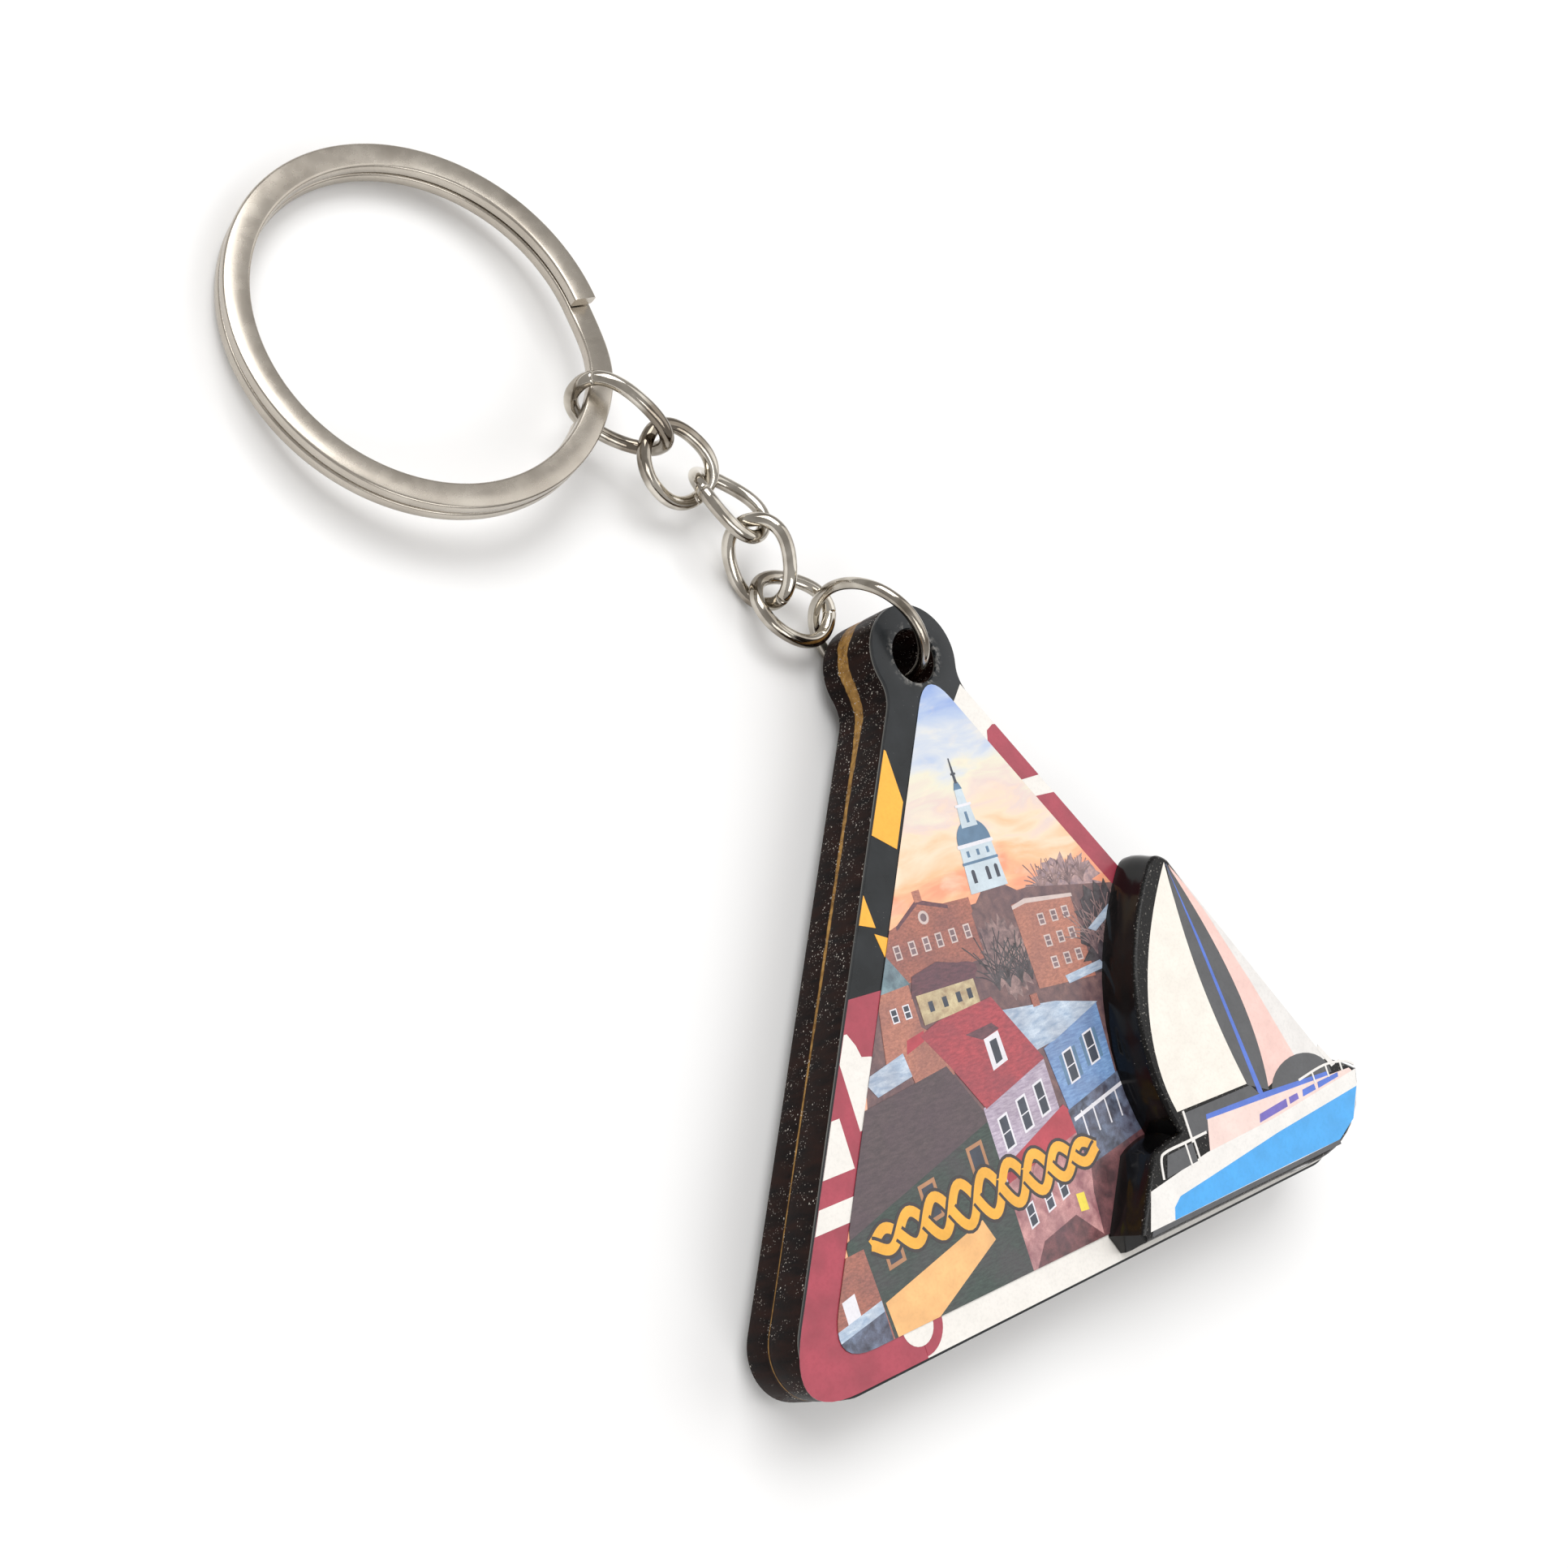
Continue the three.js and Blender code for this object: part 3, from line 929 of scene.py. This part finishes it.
def far_town(paint):
    """The skyline: brick blocks and bare trees, paler than the near houses."""
    colours = ("far_frame", "far_glass")
    foliage(paint, "haze", 8.2, 29.6, 4.2, 2.4, 1)
    for k, x in enumerate((5.6, 7.2, 8.8, 10.4)):
        twigs(paint, "trees", x, 29.4, 3.2 - 0.2 * k, 20 + k)
    paint("mass", [(-24, 2), (-15, 30), (-12, 30.2), (4, 30.3), (20, 27.5), (36, 2)])
    block = [(-12.6, 26), (-12.6, 29.9), (-10.6, 30.4), (-8, 31.8)]
    paint("brick", block + [(-5.4, 31), (-2.6, 30.9), (-2.6, 26)])
    paint("rust_roof", [(-10.8, 30.3), (-8, 31.9), (-5, 30.8), (-5, 30.5), (-8, 31.5), (-10.8, 30)])
    paint("brick_pale", rectangle(-7.8, 32.1, 0.8, 0.9))
    paint("far_frame", circle(-7.8, 30.4, 0.55, 15))
    paint("far_glass", circle(-7.8, 30.4, 0.33, 13))
    for x in (-11.4, -9.8, -8.3, -6.9, -5.4, -3.8):
        window(paint, x, 28.4, 0.45, 0.9, 0, 0.12, colours)
    paint("mass", [(-2.8, 24), (-2.8, 29.6), (-1, 31.1), (1.5, 31.1), (4, 29.5), (4, 24)])
    foliage(paint, "trees", -0.6, 25.6, 2.6, 3.2, 2)
    for k, x in enumerate((-2.4, -1.2, 0.2, 1.4)):
        twigs(paint, "dark_trees", x, 23.2, 5.4 - 0.5 * k, 30 + k)
    paint("brick_pale", [(1.8, 22.3), (1.6, 29.3), (3.2, 29.4), (8.4, 28.7), (8.4, 21.8)])
    cornice = [(1.6, 29.2), (3.2, 29.5), (8.6, 28.8), (8.6, 28.5), (3.2, 29.1), (1.6, 28.9)]
    paint("far_frame", cornice)
    for x in (4.4, 5.9, 7.3):
        for y in (27.5, 25.7, 23.9):
            window(paint, x, y, 0.5, 0.75, -0.05, 0.12, colours)
    foliage(paint, "dark_trees", 12.2, 24.6, 4.2, 4.4, 3)
    for k, x in enumerate((9.4, 10.8, 12.2)):
        twigs(paint, "trees", x, 23.4, 5.2, 40 + k)
    paint("ice_roof", [(9.2, 25.6), (12.4, 27), (13.2, 26.6), (10, 25.2)])
    paint("ice_roof", [(5, 22.6), (9.4, 22.9), (9.9, 22.2), (5.2, 21.9)])


def tower(paint):
    paint("tower", [(-2.2, 31), (-1.9, 34.7), (1.7, 34.7), (2, 31)])
    paint("white", rectangle(-0.1, 34.8, 4.0, 0.3))
    paint("dome", rectangle(-0.1, 33.4, 4.0, 0.22))
    for x in (-1.3, 0.3, 1.3):
        paint("glass", rectangle(x, 32.2, 0.4, 0.9))
        paint("glass", circle(x, 32.65, 0.2, 11))
    for x in (-1.2, -0.1, 1.0):
        paint("dome", rectangle(x, 34.1, 0.3, 0.5))
    paint("dome", arc(-0.1, 34.95, 1.85, 0, math.pi, 18))
    paint("tower", [(-1, 36.2), (-0.8, 38), (0.6, 38), (0.8, 36.2)])
    paint("dome", rectangle(-0.1, 37, 0.3, 0.9))
    paint("white", rectangle(-0.1, 38, 1.8, 0.22))
    paint("tower", [(-0.6, 38.1), (-0.5, 39.3), (0.3, 39.3), (0.4, 38.1)])
    paint("dome", [(-0.55, 39.3), (-0.3, 39.9), (0.1, 39.9), (0.35, 39.3)])
    paint("glass", [(-0.24, 39.8), (-0.14, 41.9), (-0.06, 41.9), (0.04, 39.8)])
    paint("glass", rectangle(-0.1, 40.6, 0.5, 0.16))


def middle_town(paint):
    """Roofs in the middle distance, left to right."""
    paint("teal_roof", [(-14.7, 25.8), (-13, 28.9), (-11.2, 25.9)])
    paint("brick_pale", [(-14.7, 25.8), (-11.4, 25.9), (-11.4, 21), (-16, 20)])
    for x in (-13.6, -12.3):
        window(paint, x, 24, 0.5, 0.9, 0, 0.1)
    paint("rust_roof", [(-11.5, 24.8), (-10.8, 26.4), (-8, 26.9), (-4, 25.8), (-4.6, 24.7)])
    paint("cream", [(-11, 22.6), (-11, 24.9), (-4.8, 24.8), (-4.8, 22.8)])
    for x in (-9.8, -8.3, -6.8, -5.6):
        paint("glass", rectangle(x, 23.8, 0.5, 0.8))
    paint("rust_roof", smooth([(-7, 25.6), (-6, 26.3), (-4.4, 26), (-4.2, 25.2), (-6, 25)]))
    paint("ice_roof", [(-18.4, 20.3), (-13.6, 21.3), (-13.6, 19.4), (-17.5, 18.8)])
    paint("brick_pale", [(-14, 21.6), (-11.4, 22.6), (-9.6, 21), (-9.6, 18.4), (-13.6, 18.4)])
    paint("shop_roof", [(-13.6, 21), (-13.2, 22), (-11.3, 22.3), (-11.6, 21.5)])


def blue_house(paint):
    """The blue house with its frosted roof, chimney and shutters."""
    paint("blue", [(0.2, 17.8), (7.4, 19.8), (7, 13.4), (0.8, 12.2)])
    paint("ice_roof", [(-3.4, 21.8), (3, 21), (7.6, 19.8), (1.6, 18.1), (-1.4, 17.8)])
    paint("brick", rectangle(0.9, 21.6, 0.8, 1.0))
    for x, y in ((2.5, 15.8), (5.3, 16.6)):
        window(paint, x, y, 0.9, 2.3, 0.2, 0.16)
        for side in (-0.85, 0.85):
            paint("dome", rectangle(x + side, y + 0.2 * side, 0.35, 2.4, 0.2))


def long_house(paint):
    """The long dark roof over green boards."""
    paint("slate", [(-21.4, 18), (-10.2, 19.2), (-7.4, 14), (-24, 9.9)])
    paint("green", [(-24.4, 10), (-7.9, 14.2), (-7.4, 2), (-25, 2)])


def red_roofed_house(paint):
    """The lilac house with the red roof and its dormer."""
    paint("lilac", [(-7.9, 15.2), (-0.2, 17.2), (-0.2, 11.6), (-7.9, 9.4)])
    for x, y in ((-6.3, 12.9), (-3.9, 13.7), (-1.7, 14.3)):
        window(paint, x, y, 0.85, 2.3, 0.22, 0.18)
    roof = [(-11.8, 22), (-9.6, 22.6), (-3.6, 23), (-0.1, 17.1), (-7.6, 15.1), (-9.8, 19)]
    paint("red_roof", roof)
    paint("white", [(-5.7, 17.6), (-5.7, 20.1), (-4, 20.4), (-3.9, 18)])
    paint("glass", [(-5.2, 18), (-5.2, 19.8), (-4.4, 19.9), (-4.4, 18.2)])
    paint("rust_roof", [(-7.4, 20.9), (-5.8, 20.1), (-3.8, 20.5), (-4.4, 21.1)])


def shops(paint):
    """The low shops and the arcade beside them."""
    paint("shop_roof", [(-7.9, 10.4), (0.3, 13.2), (2, 11), (-7.4, 7.8)])
    paint("shops", [(-8, 9.2), (1.4, 10.9), (2, 2), (-8, 2)])
    for x, y in ((-6.4, 6.4), (-4.2, 7), (-2.4, 7.4)):
        window(paint, x, y, 0.7, 1.5, 0.25, 0.14)
    paint("arcade", [(0.6, 12.6), (9, 14.4), (9, 9), (1, 8)])
    for x in (2.0, 3.4, 4.9, 6.3):
        paint("white", rectangle(x, 10.9 + 0.12 * x, 0.16, 2.2))
    paint("white", [(1, 11.9), (9, 13.5), (9, 13.2), (1, 11.6)])


def street_level(paint):
    """The street, the doors in the green boards, and the porch at the left."""
    paint("street", [(1.2, 8), (12, 9.6), (12, 2), (0.2, 2), (0.6, 6)])
    paint("street", [(-6, 4.2), (-2, 5), (1, 2), (-8, 2)])
    for x, y in ((-15.6, 10.4), (-10, 11.6), (-20.4, 8.6)):
        paint("trim", rectangle(x, y, 1.8, 2.9, 0.12))
        paint("glass", rectangle(x, y, 1.2, 2.3, 0.12))
    paint("brick", [(-27, 9), (-23, 9.2), (-22.6, 2), (-31, 2)])
    paint("white", rectangle(-25.6, 5.4, 1.3, 2.2, 0.2))
    paint("ice_roof", [(-28.6, 4.4), (-22.8, 5.4), (-22.8, 4.6), (-28.6, 3.6)])
    paint("arcade", [(-28.6, 3.6), (-22.8, 4.6), (-22.8, 2), (-29, 2)])


def awning(paint):
    """The awning and the small yellow sign in front."""
    paint("awning", [(-22.5, 5.1), (-11.4, 7.6), (-10.7, 5.9), (-18.2, 2.5), (-22.3, 2.5)])
    paint("sign", rectangle(-0.9, 5.7, 0.9, 1.4, -0.1))


def flourish(paint):
    """A gold two-strand cord with a dark edge across the foot of the picture."""
    start, end, height, swing = -22.2, 2.4, 9.2, 1.55
    turns, steps, stretch = 4.5, 108, 12
    strands = [[], []]
    for part in np.linspace(0, 1, steps + 1):
        swell = swing * math.sin(math.pi * part) ** 0.45 + 0.05
        side = swell * math.sin(2 * math.pi * turns * part)
        x = start + part * (end - start)
        strands[0].append((x, height + side))
        strands[1].append((x, height - side))
    for first in range(0, steps, stretch):
        behind = (first // stretch) % 2
        for strand in (strands[behind], strands[1 - behind]):
            piece = strand[first : first + stretch + 2]
            paint("cord_edge", ribbon(piece, 1.3))
            paint("cord", ribbon(piece, 0.8))


def make_border():
    base_inset = 0.15
    corners = [(-BOARD_HALF_BASE, base_inset), (BOARD_HALF_BASE, base_inset), (0, BOARD_HEIGHT)]
    sides = rounded(corners, (BOARD_CORNER, BOARD_CORNER, 0.5), 14)
    centre = Vector((0, MIDDLE))
    shrink = 1 - BORDER_MARGIN / MIDDLE
    sides = [tuple(centre + (Vector(p) - centre) * shrink) for p in sides]
    border = art("border_print", border_shapes(), sides, FACE_TOP)
    finish_piece(border, "fob")


def make_picture():
    inks = picture_inks()
    region = picture_region()
    shapes = []

    def paint(name, points):
        shapes.append((inks[name], points))

    paint("sky", region)
    far_town(paint)
    tower(paint)
    middle_town(paint)
    blue_house(paint)
    long_house(paint)
    red_roofed_house(paint)
    shops(paint)
    street_level(paint)
    awning(paint)
    flourish(paint)
    picture = art("town_picture", shapes, region, FACE_TOP + ART_STACK)
    finish_piece(picture, "fob")


# ---- the boat plate ----


def make_boat():
    black, rim = lacquer(), rough_rim()
    glue_low, board_low = height_of("boat_glue", 0), height_of("boat_board", 0)
    board_high = height_of("boat_board", 1)
    low, high = height_of("boat_print", 0), height_of("boat_print", 1)
    foot = [(-0.15, glue_low), (-0.5, glue_low + 0.1), (-0.5, board_low)]
    wall = [(-0.5, board_low), (-0.5, board_low + 0.5), (-0.36, board_low + 1.2)]
    wall += [(-0.14, board_low + 1.9), (0.0, board_low + 2.4), (0.06, board_high)]
    layers = [
        ("boat_glue", "bead", black, foot),
        ("boat_board", "wall", black, wall),
        ("boat_print", "sheet", rim, [(0.06, low), (0.08, high)]),
        ("boat_coat", "face", rim, [(0.08, high), (0.14, high + 0.12), (0.32, BOAT_TOP)]),
    ]
    for node, part, material, profile in layers:
        piece = slab(f"{node}_{part}", boat_outline, profile, material)
        finish_piece(piece, "fob", [node])
    picture = art("boat_picture", boat_shapes(), None, BOAT_TOP)
    finish_piece(picture, "fob")


def boat_shapes():
    charcoal = ink("boat charcoal", "4a4b4e", 0.12)
    cream = ink("mainsail cream", "efe9df", 0.04)
    pink = ink("foresail pink", "f0c9c0", 0.06)
    pale = ink("jib white", "e4e1de", 0.04)
    blue = ink("mast blue", "4a6fce", 0.1)
    purple = ink("window purple", "6c5fb8", 0.15)
    sea = ink("hull blue", "3ba4ea", 0.08)
    white = ink("hull white", "ebe8e4", 0.04)
    blush = ink("cabin blush", "f0d5cd", 0.06)
    leech = bezier((17, 28.9), (11.6, 23.5), (7.2, 16), (9.1, 9.6), 20)
    luff = bezier((18.6, 9.4), (17.2, 15), (16.2, 21), (17, 28.9), 16)
    lens = bezier((17.2, 28.8), (20.4, 21), (22, 14), (20.6, 8.2), 16) + [(20.6, 8.2)]
    lens += bezier((18.2, 9.3), (16.6, 16), (16.2, 22), (17.1, 28.8), 16)
    mast = [(17.1, 28.8), (17.9, 22), (18.7, 14), (19.2, 8.1), (19.8, 8.1), (19.1, 14), (18.2, 22)]
    dome = arc(25, 7.4, 1, 0, math.pi, 16)
    dome = [(25 + (x - 25) * 4.2, 7.4 + (y - 7.4) * 2.6) for x, y in dome]
    hull = [(3.4, 4.8), (11, 5.7), (20, 5.9), (32.4, 6.8), (31.7, 5)]
    hull += [(30, 3), (27.4, 1.9), (22, 1.9), (2, 2)]
    stripe = [(5, 2), (5.4, 2.9), (6.4, 3.5), (10, 3.8), (20, 4.7)]
    stripe += [(31.8, 5.4), (30, 3), (27.4, 1.9), (22, 1.95)]
    rail = smooth([(5.2, 5.2), (5.6, 6.7), (6.4, 7.1), (9, 7.15), (11.6, 7.2)], 6, False)
    bow_rail = smooth([(24.6, 7.9), (28.4, 8.2), (31.2, 7.8), (32.4, 7.2)], 6, False)
    return [
        (charcoal, [(2, 1.6), (27.4, 1.5), (27.4, 2.1), (2.4, 2.1)]),
        (cream, leech + [(9.1, 9.6)] + luff),
        (pink, [(17.4, 28.6), (20.2, 24), (24.6, 13.5), (25.6, 9.6), (20.4, 8.4), (20.4, 14)]),
        (pale, [(17.5, 28.7), (28.3, 9.9), (28.9, 8.6), (25.4, 9.2), (22.8, 17), (20, 24)]),
        (charcoal, lens),
        (blue, mast),
        (charcoal, dome),
        (white, [(28.3, 9.7), (29.4, 7.8), (30, 7.9), (28.6, 10)]),
        (charcoal, [(9.7, 9.3), (18.5, 9.2), (19.4, 8.1), (12.2, 8.2), (11.9, 7.2), (9.7, 7)]),
        (blue, [(12.1, 8.1), (12.2, 8.5), (20, 8.2), (28.6, 7.6), (28.6, 7.1), (20, 7.7)]),
        (blush, [(11.3, 5.6), (12.2, 8.1), (20, 7.7), (31.6, 7.1), (32, 6.6), (20, 5.9)]),
        (white, hull),
        (sea, stripe),
        (charcoal, [(5.6, 5.2), (6.4, 6.8), (9.6, 6.9), (9.6, 5.4)]),
        (purple, [(18.2, 6.05), (18.5, 6.7), (22.3, 6.95), (22.2, 6.3)]),
        (purple, [(22.6, 6.4), (22.7, 6.95), (23.9, 7.0), (23.9, 6.5)]),
        (blue, [(24.5, 6.5), (24.7, 7.05), (26.4, 7.1), (26.4, 6.6)]),
        (blue, [(26.8, 6.6), (26.9, 7.1), (29.9, 7.15), (29.8, 6.8)]),
        (white, ribbon(rail, 0.22)),
        (white, rectangle(8.8, 6.2, 0.2, 2.0)),
        (white, rectangle(9.9, 6.2, 0.2, 2.0)),
        (white, rectangle(9.7, 8.2, 0.24, 2.6)),
        (white, ribbon(bow_rail, 0.2)),
        *[(white, rectangle(x, 7.6, 0.18, 1.0)) for x in (26.6, 28.6, 30.6)],
    ]


# ---- the metal ----

# Where each wire's ends meet, in degrees around it.
JUMP_CUT = 200
LINK_CUTS = {"chain_link_4": 200, "chain_link_3": 215, "chain_link_2": 45, "chain_link_1": 160}
RING_LINK_CUT = 330


def make_metal():
    metal = nickel()
    make_jump_ring(metal)
    outwards = Vector(node_points("split_ring").mean(0) - node_points("jump_ring").mean(0))
    for node, cut in LINK_CUTS.items():
        make_link(node, LINK_LENGTH, cut, outwards, metal)
    make_link("ring_link", RING_LINK_LENGTH, RING_LINK_CUT, outwards, metal)
    make_split_ring(satin_nickel())


# ---- the stage ----


def make_floor():
    look = Look("white floor", 0.6)
    soft = look.noise(0.02, 2.0)
    look.colour(look.ramp(soft, [(0.3, (0.93, 0.93, 0.93, 1)), (0.7, (0.96, 0.96, 0.96, 1))]))
    low = CAD_BOX[0][2] - FLOOR_DROP * MM
    size = 1.5
    corners = [(-size, -size, low), (size, -size, low), (size, size, low), (-size, size, low)]
    floor = new_object("floor", corners, [(0, 1, 2, 3)], [look.material])


def add_light(name, place, target, size, power):
    data = bpy.data.lights.new(name, "AREA")
    data.shape = "RECTANGLE"
    data.size, data.size_y = size
    data.energy = power
    light = bpy.data.objects.new(name, data)
    light.location = place
    light.rotation_euler = (Vector(target) - Vector(place)).to_track_quat("-Z", "Y").to_euler()
    bpy.context.scene.collection.objects.link(light)


def make_lights():
    world = bpy.data.worlds.new("studio")
    world.use_nodes = True
    background = world.node_tree.nodes["Background"]
    background.inputs["Color"].default_value = (0.92, 0.9, 0.88, 1)
    background.inputs["Strength"].default_value = 0.5
    bpy.context.scene.world = world
    bpy.context.scene.view_settings.view_transform = "Standard"
    target = (-0.01, 0.02, 0)
    add_light("key", (-0.15, 0.42, 0.6), target, (0.6, 0.4), 3.4)
    add_light("panel", (0.5, 0.02, 0.55), target, (0.7, 0.8), 1.5)
    add_light("fill", (-0.1, -0.55, 0.45), target, (0.5, 0.3), 1.2)


def make_camera():
    azimuth, elevation, roll = CAMERA_AZIMUTH, CAMERA_ELEVATION, CAMERA_ROLL
    back = Vector((math.sin(azimuth), -math.cos(azimuth), 0)) * math.cos(elevation)
    back.z = math.sin(elevation)
    level = (-back).cross(Vector((0, 0, 1))).normalized()
    upright = back.cross(level)
    right = level * math.cos(roll) + upright * math.sin(roll)
    up = upright * math.cos(roll) - level * math.sin(roll)
    data = bpy.data.cameras.new("camera")
    data.lens = CAMERA_LENS
    data.sensor_width = 36
    data.clip_start = 0.01
    camera = bpy.data.objects.new("camera", data)
    turn = Matrix((right, up, back)).transposed().to_4x4()
    camera.matrix_world = Matrix.Translation((CAMERA_TARGET + back * CAMERA_DISTANCE) * MM) @ turn
    bpy.context.scene.collection.objects.link(camera)
    bpy.context.scene.camera = camera


make_camera()
make_lights()
make_floor()
make_board()
make_border()
make_picture()
make_boat()
make_metal()
